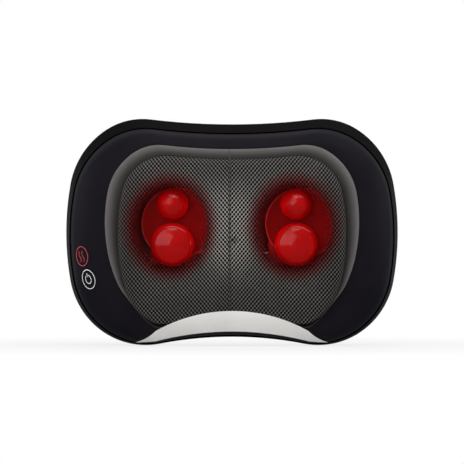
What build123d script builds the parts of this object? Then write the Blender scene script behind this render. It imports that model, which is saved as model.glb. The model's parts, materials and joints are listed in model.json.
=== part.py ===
from build123d import *
import os
from math import asin, atan2, cos, degrees, pi, radians, sin, sqrt

os.makedirs("parts", exist_ok=True)

# Shiatsu neck massager. Millimetres, +Z up, the fabric front faces -Y.
# The origin is under the middle of the body, on the surface that it stands on.

# ---- driving dimensions: body --------------------------------------------------------
overall_width = 340.0
overall_height = 232.0
back_y = 58.5                   # flat back of the rear shell
shell_wall = 3.0
back_round = 18.0               # rounding between the back and the side wall
band_start_y = -1.5            # where the side wall starts to slope in to the front rim
rim_y = -11.5                   # front rim of the rear shell
bezel_seat_y = -5.5            # step in the rear shell that the bezel stands on
groove_width = 1.2              # shadow gap between rim and bezel
crown_base_y = -8.5            # start of the bezel's rounded face
crown_front_y = -36.5           # flat ledge of the bezel under the cushion
crown_turn = 80.0               # degrees that the rounded face turns through
bezel_wall = 2.6

# Each outline is seven tangent arcs a side, from the top middle to the bottom middle.
# All outlines turn through the same angles, so one can be blended into another.
outline_turns = (-7.0, 40.0, 47.0, 20.0, 38.0, 53.0, -11.0)
body_radii = (68.0, 84.0, 81.0, 77.0)          # shoulder, upper side, lower corner, lobe
ring_radii = (68.0, 82.0, 80.0, 76.0)
gusset_radii = (45.0, 64.0, 140.0, 16.0)
seam_radii = (46.0, 48.0, 90.0, 18.0)
ring_side_gap = 4.6             # body outline to bezel outline at the sides
ring_top_gap = 10.4
ring_bottom_gap = 2.2
gusset_side_gap = 39.8          # body outline to the foot of the cushion
gusset_top_gap = 27.0
gusset_bottom_gap = 14.0
seam_side_gap = 53.7            # body outline to the seam round the mesh
seam_top_gap = 38.0
seam_bottom_gap = 17.5

# ---- driving dimensions: cushion and trim --------------------------------------------
mesh_front_y = -58.5            # foremost point of the mesh cover
mesh_bulge_radius = 330.0       # how the front curves from top to bottom
mesh_edge_round = 9.0
mesh_thickness = 1.5
seam_low_z = 16.0               # foot of the cushion, behind the trim
seam_low_rise = 1.2             # height of the seam above the ledge there
seam_high_rise = 10.0           # and at the top
fabric_thickness = 1.4
fabric_gap = 0.3                # between a soft piece and what it lies against
opening_inset = 7.0             # width of the bezel ledge
retainer_width = 11.0
retainer_thickness = 3.0
trim_tip_inset = 71.5           # from the side of the body to the tip of the crescent
trim_shoulder_inset = 92.0      # and to the end of its upper edge
trim_shoulder_z = 15.0
trim_top_z = 35.6
trim_bottom_z = 14.6            # lower edge at the middle
trim_tip_z = 3.4
trim_neck_inset = 82.0          # the upper edge hollows in between shoulder and tip
trim_neck_z = 7.4
trim_knee_z = 4.4
trim_foot_sag = 0.3
trim_round_radius = 45.0        # its face is part of a cylinder
trim_axis_y = -4.5
trim_axis_z = 40.0
trim_wall = 2.5

# ---- driving dimensions: drive and massage heads -------------------------------------
head_spacing = 126.6            # between the two output shafts
head_z = 124.6
disc_radius = 36.6
disc_offset = 7.2               # the disc is eccentric on its shaft
disc_front_y = -29.5
disc_thickness = 5.0
disc_skin = 1.5                 # what covers the end of the shaft
hub_radius = 10.0
node_offset_x = 2.4
big_node_drop = 21.6
small_node_rise = 20.0
big_node_radius = 22.0
small_node_radius = 16.2
big_node_shoulder = 4.2         # width of the rolled edge round its face
node_front_y = -55.0
node_pin_radius = 3.0
washer_thickness = 1.0
running_gap = 0.1
shaft_radius = 4.0
bush_wall = 3.0
bearing_gap = 0.05              # radial, at every bearing surface
worm_pitch = 5.0
wheel_teeth = 30
worm_pitch_radius = 6.5
worm_tip_height = 1.6
worm_root_depth = 1.9
worm_length = 24.0
wheel_tip_height = 1.5
wheel_root_depth = 2.0
wheel_width = 7.0
drive_y = 12.5                  # worm shaft and middle of the worm wheels
motor_shaft_radius = 2.5
motor_radius = 18.0
motor_end_room = 14.8           # between each end of the motor and its gear case
case_front_y = 1.5
case_wall = 2.5
motor_back_gap = 1.0            # between the motor and the chassis plate
chassis_thickness = 3.0
chassis_inset = 8.0

# ---- driving dimensions: controls and fasteners --------------------------------------
button_radius = 10.6
button_gap = 0.3
button_travel = 0.8
heat_button_inset = 16.6        # from the side of the body
heat_button_z = 91.2
power_button_inset = 23.4
power_button_z = 67.6
board_thickness = 1.6
board_depth = 13.5              # along the button axis, below the bezel face
jack_xz = (105.0, 48.0)
plug_radius = 2.75              # 5.5 mm barrel plug
plug_pin_radius = 1.0
plug_depth = 9.5
side_post_inset = 24.0          # from the side of the body to the posts at the sides
low_post_inset = 57.0           # and to the low ones
top_post_drop = 23.0            # from the top of the body to the upper ones
chassis_posts = ((88.0, 168.0), (68.0, 52.0))
post_radius = 5.0
well_radius = 4.2
housing_screw_radius = 1.75
small_screw_radius = 1.5
screw_clearance = 0.25
led_count = 8

# ---- derived places ------------------------------------------------------------------
half_width = overall_width / 2
trim_reach = half_width - trim_tip_inset
trim_shoulder = half_width - trim_shoulder_inset
trim_neck = half_width - trim_neck_inset
heat_button_xz = (heat_button_inset - half_width, heat_button_z)
power_button_xz = (power_button_inset - half_width, power_button_z)
housing_posts = (
    (half_width - side_post_inset, 128.0),
    (56.0, overall_height - top_post_drop),
    (half_width - low_post_inset, 30.0),
)
chassis_y = drive_y + motor_radius + motor_back_gap          # front face of the chassis plate
rear = (0, 1, 0)
front = (0, -1, 0)
head_xs = (-head_spacing / 2, head_spacing / 2)
wheel_pitch_radius = wheel_teeth * worm_pitch / (2 * pi)
worm_z = head_z - wheel_pitch_radius - worm_pitch_radius
inner_back_y = back_y - shell_wall


def cyl_y(radius, y0, y1, x=0.0, z=0.0):
    return Pos(x, (y0 + y1) / 2, z) * Rot(90, 0, 0) * Cylinder(radius, y1 - y0)


def cyl_x(radius, x0, x1, y, z):
    return Pos((x0 + x1) / 2, y, z) * Rot(0, 90, 0) * Cylinder(radius, x1 - x0)


def block(x0, x1, y0, y1, z0, z1):
    return Pos((x0 + x1) / 2, (y0 + y1) / 2, (z0 + z1) / 2) * Box(x1 - x0, y1 - y0, z1 - z0)


def group(solids):
    return Compound(children=list(solids))


def slide_to(shape, x, y, z):
    return Pos(x, y, z) * shape


# ---- outlines ------------------------------------------------------------------------
class Outline:
    """A closed outline, the same left and right, of seven tangent arcs a side."""

    def __init__(self, middle_z, radii):
        self.middle_z = middle_z
        self.radii = radii

    @classmethod
    def fitted(cls, width, top_z, bottom_z, known):
        """Solves the top, side and bottom arcs for the width and height."""
        shoulder, upper, corner, lobe = known
        h = [0.0]
        for turn in outline_turns:
            h.append(h[-1] + radians(turn))
        fall = shoulder * (1 - cos(h[2])) + upper * (cos(h[2]) - cos(h[3]))
        fall += corner * (cos(h[4]) - cos(h[5])) + lobe * (cos(h[5]) + 1)
        side = (top_z - bottom_z - fall) / (cos(h[3]) - cos(h[4]))
        reach = shoulder * (sin(h[2]) - sin(h[1])) + upper * (sin(h[3]) - sin(h[2]))
        reach += side * (1 - sin(h[3]))
        top = (width / 2 - reach) / -sin(h[1])
        back = side * (1 - sin(h[4])) + corner * (sin(h[4]) - sin(h[5]))
        back += lobe * (sin(h[5]) - sin(h[6]))
        bottom = (width / 2 - back) / -sin(h[6])
        middle_z = top_z - (top + shoulder) * (1 - cos(h[1]))
        return cls(middle_z, (top, shoulder, upper, side, corner, lobe, bottom))

    def inset(self, distance):
        radii = [r - distance if turn > 0 else r + distance for r, turn in zip(self.radii, outline_turns)]
        return Outline(self.middle_z - distance, radii)

    def blend(self, other, share):
        radii = [a + (b - a) * share for a, b in zip(self.radii, other.radii)]
        return Outline(self.middle_z + (other.middle_z - self.middle_z) * share, radii)

    def arcs(self):
        """Start, middle and end of each arc of the right half, as (x, z)."""
        x, z, heading = 0.0, self.middle_z, 0.0
        found = []
        for radius, turn in zip(self.radii, outline_turns):
            way = 1 if turn > 0 else -1
            points = [(x, z)]
            for share in (0.5, 1.0):
                h = heading + radians(turn) * share
                px = x + way * radius * (sin(h) - sin(heading))
                pz = z + way * radius * (cos(h) - cos(heading))
                points.append((px, pz))
            found.append(points)
            x, z = points[-1]
            heading += radians(turn)
        return found

    def wire(self, y):
        right = self.arcs()
        left = [[(-x, z) for x, z in reversed(points)] for points in reversed(right)]
        edges = [ThreePointArc(*[(x, y, z) for x, z in points]) for points in right + left]
        return Wire(edges)

    def face(self, y):
        return Face(self.wire(y))

    def prism(self, y0, y1):
        return extrude(self.face(y0), amount=y1 - y0, dir=rear)


def gapped_outline(side_gap, top_gap, bottom_gap, known):
    width = overall_width - 2 * side_gap
    return Outline.fitted(width, overall_height - top_gap, bottom_gap, known)


body_line = Outline.fitted(overall_width, overall_height, 0.0, body_radii)
ring_line = gapped_outline(ring_side_gap, ring_top_gap, ring_bottom_gap, ring_radii)
gusset_line = gapped_outline(gusset_side_gap, gusset_top_gap, gusset_bottom_gap, gusset_radii)
seam_line = gapped_outline(seam_side_gap, seam_top_gap, seam_bottom_gap, seam_radii)


def stack(sections, ruled=False):
    return Part() + Solid.make_loft([line.wire(y) for line, y in sections], ruled)


# ---- casing --------------------------------------------------------------------------
def shell_block(inset, back, round_radius):
    """The rear shell's solid shape, without its hollow."""
    tub = body_line.inset(inset).prism(band_start_y, back)
    back_edges = tub.faces().sort_by(Axis.Y)[-1].edges()
    tub = fillet(back_edges, round_radius)
    rim_line = ring_line.inset(inset - groove_width)
    band = stack([(rim_line, rim_y), (body_line.inset(inset), band_start_y)], ruled=True)
    return tub + band


def crown_sections(skin):
    """Outlines of the bezel's rounded face, moved in by the thickness of its wall."""
    steps = 5
    sections = []
    for i in range(steps + 1):
        turn = radians(crown_turn * i / steps)
        share = (1 - cos(turn)) / (1 - cos(radians(crown_turn)))
        depth = crown_base_y + (crown_front_y - crown_base_y) * sin(turn) / sin(radians(crown_turn))
        line = ring_line.blend(gusset_line, share).inset(skin * cos(turn))
        sections.append((line, depth + skin * sin(turn)))
    return sections


def bezel_block(skin, seat_y):
    sections = crown_sections(skin)
    wall = ring_line.inset(skin).prism(crown_base_y, seat_y)
    return stack(sections) + wall


bezel_outer = bezel_block(0.0, bezel_seat_y)
bezel_inner = bezel_block(bezel_wall, bezel_seat_y + 1.0)


def both_sides(points):
    return [(side * x, z) for x, z in points for side in (-1, 1)]


def rear_shell():
    shell = shell_block(0.0, back_y, back_round)
    hollow = body_line.inset(shell_wall).prism(band_start_y, inner_back_y)
    hollow = fillet(hollow.faces().sort_by(Axis.Y)[-1].edges(), back_round - shell_wall)
    shell -= hollow
    shell -= ring_line.inset(bezel_wall + 1.0).prism(rim_y - 1, band_start_y + 0.5)
    shell -= ring_line.inset(-groove_width).prism(rim_y - 1, bezel_seat_y)
    for x, z in both_sides(housing_posts):
        shell += cyl_y(post_radius + 1.5, bezel_seat_y, inner_back_y + 0.5, x, z)
        shell -= cyl_y(well_radius, bezel_seat_y + 4, back_y + 1, x, z)
        shell -= cyl_y(housing_screw_radius + screw_clearance, bezel_seat_y - 1, back_y, x, z)
    for x, z in both_sides(chassis_posts):
        shell += cyl_y(post_radius, chassis_y + chassis_thickness, inner_back_y + 0.5, x, z)
        shell -= cyl_y(small_screw_radius, chassis_y, chassis_y + 15, x, z)
    x, z = jack_xz
    shell -= cyl_y(jack_nose_radius, inner_back_y - 1, back_y + 1, x, z)
    return shell


def crown_point(x, z):
    """Where a line along Y through (x, z) meets the bezel's face, and the normal there."""
    hits = bezel_outer.find_intersection_points(Axis((x, -200, z), rear))
    return min(hits, key=lambda hit: hit[0].Y)


heat_spot, heat_normal = crown_point(*heat_button_xz)
power_spot, power_normal = crown_point(*power_button_xz)
button_axis = (heat_normal + power_normal).normalized()
board_middle = (heat_spot + power_spot) / 2


def levelled(spot):
    """The spot moved along the button axis until it is level with the middle of the two."""
    return spot - button_axis * (spot - board_middle).dot(button_axis)


button_spots = {"heat": levelled(heat_spot), "power": levelled(power_spot)}


def on_button_axis(spot, radius, start, end):
    """A cylinder along the button axis, from start to end below the given spot."""
    plane = Plane(origin=spot - button_axis * start, z_dir=-button_axis)
    return Part() + Solid.make_cylinder(radius, end - start, plane)


board_along = (button_spots["heat"] - button_spots["power"]).normalized()
board_plane = Plane(origin=board_middle - button_axis * board_depth, x_dir=board_along, z_dir=-button_axis)
board_length = 70.0
board_width = 20.0
board_boss_reach = 29.0
board_boss_radius = 3.2


def board_boss_spots():
    return [board_middle + board_along * side * board_boss_reach for side in (-1, 1)]


def front_bezel():
    bezel = bezel_outer - bezel_inner
    bezel -= gusset_line.inset(opening_inset).prism(crown_front_y - 1, crown_base_y)
    for x, z in both_sides(housing_posts):
        boss = cyl_y(post_radius, crown_front_y, bezel_seat_y, x, z)
        bezel += boss & bezel_inner
        bezel -= cyl_y(housing_screw_radius - 0.3, bezel_seat_y - 14, bezel_seat_y + 2, x, z)
    for spot in board_boss_spots():
        boss = on_button_axis(spot, board_boss_radius, -2, board_depth)
        bezel += boss & bezel_inner
        bezel -= on_button_axis(spot, small_screw_radius - 0.3, board_depth - 6, board_depth + 1)
    for spot in button_spots.values():
        bezel -= on_button_axis(spot, button_radius + button_gap, -6, 7)
    return bezel


# ---- controls ------------------------------------------------------------------------
switch_size = 6.2
switch_height = 3.6
plunger_radius = 1.7
plunger_rise = 1.6
plunger_seat = 1.2              # how deep the plunger stands in the switch at rest
stem_radius = 2.8
collar_radius = 8.0
flange_depth = 6.3              # clear of the bezel's sloping inside
flange_thickness = 0.8
flange_extra = 0.5


def button_cap(spot):
    skin = bezel_outer - bezel_inner
    cap = on_button_axis(spot, button_radius, -6, 7) & skin
    cap += on_button_axis(spot, collar_radius, bezel_wall / 2, flange_depth)
    flange_radius = button_radius + button_gap + flange_extra
    cap += on_button_axis(spot, flange_radius, flange_depth, flange_depth + flange_thickness)
    plunger_top = board_depth - switch_height - plunger_rise
    cap += on_button_axis(spot, stem_radius, flange_depth, plunger_top)
    return cap


def switch_plunger(spot):
    top = board_depth - switch_height - plunger_rise
    return on_button_axis(spot, plunger_radius, top, top + plunger_rise + plunger_seat)


def switch_body(spot):
    plane = Plane(origin=spot - button_axis * board_depth, x_dir=board_along, z_dir=button_axis)
    body = plane * Pos(0, 0, switch_height / 2) * Box(switch_size, switch_size, switch_height)
    top = board_depth - switch_height
    bottom = top + plunger_seat + button_travel + 0.4
    body -= on_button_axis(spot, plunger_radius + bearing_gap, top - 1, bottom)
    return body


def button_board():
    board = board_plane * Pos(0, 0, board_thickness / 2) * Box(board_length, board_width, board_thickness)
    for spot in board_boss_spots():
        board -= on_button_axis(spot, small_screw_radius + screw_clearance, board_depth - 1, board_depth + 4)
    return board


def board_screws():
    screws = []
    for spot in board_boss_spots():
        under = board_depth + board_thickness
        screw = on_button_axis(spot, small_screw_radius - 0.3, board_depth - 5.5, under)
        screws.append(screw + on_button_axis(spot, small_screw_radius * 2, under, under + 1.8))
    return group(screws)


# ---- cushion and trim ----------------------------------------------------------------
def mesh_dome(grow, edge_round, foot_y):
    """The space under the mesh cover, grown by a distance, down to foot_y."""
    prism = seam_line.inset(-grow).prism(mesh_front_y - 30, foot_y)
    bulge = Pos(0, mesh_front_y + mesh_bulge_radius, head_z) * Rot(0, 90, 0)
    bulge = bulge * Cylinder(mesh_bulge_radius + grow, overall_width)
    dome = prism & bulge
    front_edges = dome.faces().sort_by(Axis.Y)[0].edges()
    return fillet(front_edges, edge_round)


def mesh_cover():
    inner = mesh_dome(-mesh_thickness, mesh_edge_round - mesh_thickness, crown_front_y + 1)
    return mesh_dome(0.0, mesh_edge_round, crown_front_y) - inner


def under_seam_plane():
    """The half space behind the sloping plane that the seam lies in."""
    seam_high_z = seam_line.middle_z
    slope = atan2(seam_high_rise - seam_low_rise, seam_high_z - seam_low_z)
    thick = 60.0
    slab = Pos(0, thick / 2, 0) * Box(2 * overall_width, thick, 4 * overall_height)
    return Pos(0, crown_front_y - seam_low_rise, seam_low_z) * Rot(degrees(slope), 0, 0) * slab


def wedge(skin):
    """The solid under the sloping fabric wall, moved in by a skin thickness."""
    rise = seam_high_rise + 2.0
    foot = gusset_line.inset(skin)
    head = seam_line.inset(skin)
    return stack([(head, crown_front_y - rise), (foot, crown_front_y)], ruled=True)


def side_gusset():
    ring = wedge(0.0) - wedge(fabric_thickness)
    ring -= seam_line.inset(-0.05).prism(mesh_front_y, crown_front_y + 1)
    return ring & under_seam_plane()


def cushion_foam():
    ring = wedge(fabric_thickness)
    ring -= seam_line.inset(-0.05).prism(mesh_front_y, crown_front_y + 1)
    return ring & under_seam_plane()


def cover_retainer():
    y0 = crown_front_y + bezel_wall + 0.1
    outer = gusset_line.inset(1.5)
    ring = outer.prism(y0, y0 + retainer_thickness)
    return ring - outer.inset(retainer_width).prism(y0 - 1, y0 + retainer_thickness + 1)


def trim_face(inset):
    """The crescent, moved in by a distance, as a face in the plane y = 0."""
    top = (0, trim_top_z - inset)
    shoulder = (trim_shoulder - inset * 1.2, trim_shoulder_z - inset * 0.6)
    neck = (trim_neck - inset * 2.0, trim_neck_z + inset * 0.2)
    tip = (trim_reach - inset * 3.0, trim_tip_z + inset * 0.7)
    knee = (trim_shoulder - inset, trim_knee_z + inset)
    foot = ((tip[0] + knee[0]) / 2, (tip[1] + knee[1]) / 2 - trim_foot_sag)
    low = (0, trim_bottom_z + inset)

    def mirrored(point):
        return (-point[0], point[1])

    arcs = [
        (mirrored(shoulder), top, shoulder),
        (shoulder, neck, tip),
        (tip, foot, knee),
        (knee, low, mirrored(knee)),
        (mirrored(knee), mirrored(foot), mirrored(tip)),
        (mirrored(tip), mirrored(neck), mirrored(shoulder)),
    ]
    return Face(Wire([ThreePointArc(*[(x, 0, z) for x, z in points]) for points in arcs]))


def trim_body(inset, radius):
    prism = extrude(trim_face(inset), amount=-2 * mesh_front_y, dir=front)
    drum = cyl_x(radius, -overall_width / 2, overall_width / 2, trim_axis_y, trim_axis_z)
    return prism & drum


def trim_crescent():
    trim = trim_body(0.0, trim_round_radius) - trim_body(trim_wall, trim_round_radius - trim_wall)
    half = overall_width / 2
    trim -= block(-half, half, crown_base_y, crown_base_y + 60, -10, 60)
    trim -= bezel_outer
    trim -= mesh_dome(fabric_gap, mesh_edge_round + fabric_gap, crown_front_y)
    trim -= wedge(-fabric_gap) & under_seam_plane()
    return trim


# ---- drive ---------------------------------------------------------------------------
def chassis_plate():
    plate = seam_line.inset(chassis_inset).prism(chassis_y, chassis_y + chassis_thickness)
    for x in head_xs:
        plate -= cyl_y(shaft_radius + bush_wall, chassis_y - 1, chassis_y + 6, x, head_z)
        for ex, ez in case_ears(x):
            plate -= cyl_y(small_screw_radius + screw_clearance, chassis_y - 1, chassis_y + 6, ex, ez)
    for x, z in both_sides(chassis_posts):
        plate -= cyl_y(small_screw_radius + screw_clearance, chassis_y - 1, chassis_y + 6, x, z)
    for x, z in clamp_holes():
        plate -= cyl_y(small_screw_radius - 0.3, chassis_y - 1, chassis_y + 6, x, z)
    return plate


wheel_tip_radius = wheel_pitch_radius + wheel_tip_height
case_radius = wheel_tip_radius + 0.8 + case_wall
tunnel_radius = worm_pitch_radius + worm_tip_height + 0.8
ear_radius = 4.5
ear_reach = case_radius + 3.0
ear_angles = (20.0, 90.0, 160.0)
worm_end_x = worm_length / 2 + 4.0
case_end_x = worm_end_x + 4.0
motor_length = head_spacing - 2 * (case_end_x + motor_end_room)


def case_ears(x):
    spots = []
    for angle in ear_angles:
        spots.append((x + ear_reach * cos(radians(angle)), head_z + ear_reach * sin(radians(angle))))
    return spots


def gear_case(x):
    side = 1 if x > 0 else -1
    inner_x = x - side * (case_radius - 3.0)
    outer_x = x + side * case_end_x
    x0, x1 = sorted((inner_x, outer_x))
    low = worm_z - tunnel_radius - case_wall
    case = cyl_y(case_radius, case_front_y, chassis_y, x, head_z)
    case += block(x0, x1, case_front_y, chassis_y, low, head_z - case_radius / 2)
    for ex, ez in case_ears(x):
        case += cyl_y(ear_radius, chassis_y - 10, chassis_y, ex, ez)
        case -= cyl_y(small_screw_radius - 0.3, chassis_y - 9, chassis_y + 1, ex, ez)
    case -= cyl_y(case_radius - case_wall, case_front_y + case_wall, chassis_y + 1, x, head_z)
    t0, t1 = sorted((inner_x + side * case_wall, x + side * worm_end_x))
    case -= cyl_x(tunnel_radius, t0, t1, drive_y, worm_z)
    case -= cyl_x(motor_shaft_radius + bush_wall, x0 - 1, x1 + 1, drive_y, worm_z)
    case -= cyl_y(shaft_radius + bush_wall, case_front_y - 1, case_front_y + case_wall + 1, x, head_z)
    return case


def case_screws():
    screws = []
    for x in head_xs:
        for ex, ez in case_ears(x):
            under = chassis_y + chassis_thickness
            shank = cyl_y(small_screw_radius - 0.3, chassis_y - 8, under, ex, ez)
            screws.append(shank + cyl_y(small_screw_radius * 2, under, under + 1.8, ex, ez))
    return group(screws)


def flanged_bush(radius, y0, y1):
    """A bush along Y, at the origin, with its flange at y1."""
    bush = cyl_y(radius + bush_wall, y0, y1)
    return bush - cyl_y(radius + bearing_gap, y0 - 1, y1 + 1)


def output_bushes(x):
    back = flanged_bush(shaft_radius, chassis_y, chassis_y + chassis_thickness)
    fore = flanged_bush(shaft_radius, case_front_y, case_front_y + case_wall)
    return group([slide_to(back, x, 0, head_z), slide_to(fore, x, 0, head_z)])


def worm_bushes():
    bushes = []
    for x in head_xs:
        side = 1 if x > 0 else -1
        x0, x1 = sorted((x + side * worm_end_x, x + side * case_end_x))
        bush = cyl_x(motor_shaft_radius + bush_wall, x0, x1, drive_y, worm_z)
        bushes.append(bush - cyl_x(motor_shaft_radius + bearing_gap, x0 - 1, x1 + 1, drive_y, worm_z))
    return group(bushes)


def worm_wheel(x):
    """Straight teeth with a gap at the very bottom, where the worm's thread lies."""
    root = wheel_pitch_radius - wheel_root_depth
    tip_half = 0.55
    root_half = 1.35
    points = []
    for i in range(wheel_teeth):
        middle = -pi / 2 + 2 * pi * (i + 0.5) / wheel_teeth
        for radius, half in ((root, -root_half), (wheel_tip_radius, -tip_half)):
            points.append((radius, middle + half / radius))
        for radius, half in ((wheel_tip_radius, tip_half), (root, root_half)):
            points.append((radius, middle + half / radius))
    corners = [(radius * cos(a), 0, radius * sin(a)) for radius, a in points]
    outline = Wire(Polyline(*corners, close=True).edges())
    wheel = extrude(Face(outline), amount=wheel_width, dir=rear)
    wheel = Pos(0, -wheel_width / 2, 0) * wheel
    wheel += cyl_y(hub_radius, -wheel_width / 2, wheel_width / 2 + 8)
    wheel -= cyl_y(shaft_radius, -20, 20)
    for i in range(6):
        angle = radians(60 * i)
        reach = (root + hub_radius) / 2
        wheel -= cyl_y(3.6, -20, 20, reach * cos(angle), reach * sin(angle))
    return slide_to(wheel, x, drive_y, head_z)


def worm(x):
    """One thread, twisted along X: right-handed on the left, left-handed on the right."""
    hand = 1 if x < 0 else -1
    root = worm_pitch_radius - worm_root_depth
    tip = worm_pitch_radius + worm_tip_height
    tip_turn = radians(40)
    root_turn = radians(88)
    a = (tip * cos(tip_turn), tip * sin(tip_turn), 0)
    b = (root * cos(root_turn), root * sin(root_turn), 0)
    c = (b[0], -b[1], 0)
    d = (a[0], -a[1], 0)
    edges = [
        Line(a, b),
        ThreePointArc(b, (-root, 0, 0), c),
        Line(c, d),
        ThreePointArc(d, (tip, 0, 0), a),
    ]
    turns = 360.0 * worm_length / worm_pitch * hand
    face = Face(Wire(edges))
    thread = Solid.extrude_linear_with_rotation(face, (0, 0, 0), (0, 0, worm_length), turns)
    # The thread's middle faces +Z, towards the wheel, at the middle of the worm.
    upright = Rot(0, 90, 0) * Rot(0, 0, 180 - turns / 2) * (Part() + thread)
    upright = Pos(-worm_length / 2, 0, 0) * upright
    upright -= cyl_x(motor_shaft_radius, -worm_length, worm_length, 0, 0)
    return slide_to(upright, x, drive_y, worm_z)


def motor_shaft():
    reach = head_spacing / 2 + case_end_x
    return cyl_x(motor_shaft_radius, -reach, reach, drive_y, worm_z)


def drive_motor():
    can = cyl_x(motor_radius, -motor_length / 2, motor_length / 2, drive_y, worm_z)
    nose = cyl_x(6.5, -motor_length / 2 - 2.5, motor_length / 2 + 2.5, drive_y, worm_z)
    motor = can + nose
    return motor - cyl_x(motor_shaft_radius + bearing_gap, -60, 60, drive_y, worm_z)


clamp_half_width = 9.0
clamp_wall = 2.5
clamp_foot_reach = 27.0


def clamp_holes():
    return [(0.0, worm_z + side * clamp_foot_reach) for side in (-1, 1)]


def motor_clamp():
    w = clamp_half_width
    outer = motor_radius + clamp_wall
    foot = clamp_foot_reach + 5
    clamp = cyl_x(outer, -w, w, drive_y, worm_z)
    clamp += block(-w, w, drive_y, chassis_y, worm_z - outer, worm_z + outer)
    clamp += block(-w, w, chassis_y - 4, chassis_y, worm_z - foot, worm_z + foot)
    clamp -= cyl_x(motor_radius, -w - 1, w + 1, drive_y, worm_z)
    clamp -= block(-w - 1, w + 1, chassis_y, chassis_y + 20, 0, overall_height)
    for x, z in clamp_holes():
        clamp -= cyl_y(small_screw_radius + screw_clearance, chassis_y - 5, chassis_y + 1, x, z)
    return clamp


def clamp_screws():
    screws = []
    for x, z in clamp_holes():
        top = chassis_y - 4
        shank = cyl_y(small_screw_radius - 0.3, top, chassis_y + 2.5, x, z)
        screws.append(shank + cyl_y(small_screw_radius * 2, top - 1.8, top, x, z))
    return group(screws)


def chassis_screws():
    screws = []
    for x, z in both_sides(chassis_posts):
        shank = cyl_y(small_screw_radius, chassis_y, chassis_y + 13, x, z)
        screws.append(shank + cyl_y(small_screw_radius * 2, chassis_y - 1.8, chassis_y, x, z))
    return group(screws)


def housing_screws():
    screws = []
    head_y = bezel_seat_y + 4
    for x, z in both_sides(housing_posts):
        shank = cyl_y(housing_screw_radius - 0.3, bezel_seat_y - 12, head_y, x, z)
        screws.append(shank + cyl_y(housing_screw_radius * 2, head_y, head_y + 2.5, x, z))
    return group(screws)


# ---- massage heads -------------------------------------------------------------------
node_back_y = disc_front_y - washer_thickness - running_gap
thrust_y = case_front_y - 2.0
node_places = {
    "big": (node_offset_x, -big_node_drop),
    "small": (node_offset_x, small_node_rise),
}
node_bore_depth = 15.0


def output_shaft(x):
    return cyl_y(shaft_radius, disc_front_y + disc_skin, chassis_y + chassis_thickness, x, head_z)


def rotor_disc(x):
    disc = cyl_y(disc_radius, disc_front_y, disc_front_y + disc_thickness, x + disc_offset, head_z)
    edges = disc.edges().filter_by(GeomType.CIRCLE).group_by(Axis.Y)[0]
    disc = fillet(edges, 1.2)
    disc += cyl_y(hub_radius, disc_front_y + disc_thickness, thrust_y - running_gap, x, head_z)
    disc -= cyl_y(shaft_radius, disc_front_y + disc_skin, thrust_y + 1, x, head_z)
    back = disc_front_y + disc_thickness + 1
    for dx, dz in node_places.values():
        disc -= cyl_y(node_pin_radius, disc_front_y - 1, back, x + dx, head_z + dz)
    return disc


def thrust_washer(x):
    washer = cyl_y(hub_radius, thrust_y, case_front_y, x, head_z)
    return washer - cyl_y(shaft_radius + 0.4, thrust_y - 1, case_front_y + 1, x, head_z)


def node_pins(x):
    pins = []
    reach = node_back_y - node_bore_depth + 1.0
    for dx, dz in node_places.values():
        pins.append(cyl_y(node_pin_radius, reach, disc_front_y + disc_thickness, x + dx, head_z + dz))
    return group(pins)


def node_washers(x):
    washers = []
    for dx, dz in node_places.values():
        ring = cyl_y(node_pin_radius + 3, disc_front_y - washer_thickness, disc_front_y, x + dx, head_z + dz)
        ring -= cyl_y(node_pin_radius, disc_front_y - 5, disc_front_y + 1, x + dx, head_z + dz)
        washers.append(ring)
    return group(washers)


def turned(profile_edges):
    """A solid turned about the Z axis from edges in the XZ plane, then laid along -Y."""
    profile = Face(Wire(profile_edges))
    return Rot(90, 0, 0) * revolve(profile, Axis.Z, 360)


def big_node(x):
    """A puck with a rolled shoulder, a fine rim and a shallow domed face."""
    height = node_back_y - node_front_y
    r = big_node_radius
    rim = r - big_node_shoulder
    waist = r - 5.5
    belly_z = height * 0.42
    rim_z = height - 3.4
    roll_x = rim + (r - rim) * 0.72
    roll_z = belly_z + (rim_z - belly_z) * 0.72
    groove = 0.5
    # The face is part of a ball, so that it meets the axis squarely.
    face_rise = height - rim_z + groove
    face_radius = ((rim - groove) ** 2 + face_rise ** 2) / (2 * face_rise)
    half_turn = asin((rim - groove) / face_radius) / 2
    face_middle = (face_radius * sin(half_turn), 0, height - face_radius * (1 - cos(half_turn)))
    edges = [
        Line((0, 0, 0), (waist, 0, 0)),
        ThreePointArc((waist, 0, 0), (r - 1.6, 0, belly_z * 0.45), (r, 0, belly_z)),
        ThreePointArc((r, 0, belly_z), (roll_x, 0, roll_z), (rim, 0, rim_z)),
        Line((rim, 0, rim_z), (rim - groove, 0, rim_z - groove)),
        ThreePointArc((rim - groove, 0, rim_z - groove), face_middle, (0, 0, height)),
        Line((0, 0, height), (0, 0, 0)),
    ]
    node = turned(edges)
    node -= cyl_y(node_pin_radius + bearing_gap, -node_bore_depth, 1)
    dx, dz = node_places["big"]
    return slide_to(node, x + dx, node_back_y, head_z + dz)


def small_node(x):
    """A ball with a flat back."""
    height = node_back_y - node_front_y
    r = small_node_radius
    centre_z = height - r
    waist = sqrt(r * r - centre_z * centre_z)
    edges = [
        Line((0, 0, 0), (waist, 0, 0)),
        ThreePointArc((waist, 0, 0), (r, 0, centre_z), (0, 0, height)),
        Line((0, 0, height), (0, 0, 0)),
    ]
    node = turned(edges)
    node -= cyl_y(node_pin_radius + bearing_gap, -node_bore_depth, 1)
    dx, dz = node_places["small"]
    return slide_to(node, x + dx, node_back_y, head_z + dz)


# ---- heat and power ------------------------------------------------------------------
led_ring_radius = 21.0
led_radius = 2.5
led_board_inner = hub_radius + 2.0
led_board_outer = case_radius - 2.0


def led_board(x):
    y0 = case_front_y - board_thickness
    board = cyl_y(led_board_outer, y0, case_front_y, x, head_z)
    return board - cyl_y(led_board_inner, y0 - 1, case_front_y + 1, x, head_z)


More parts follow.
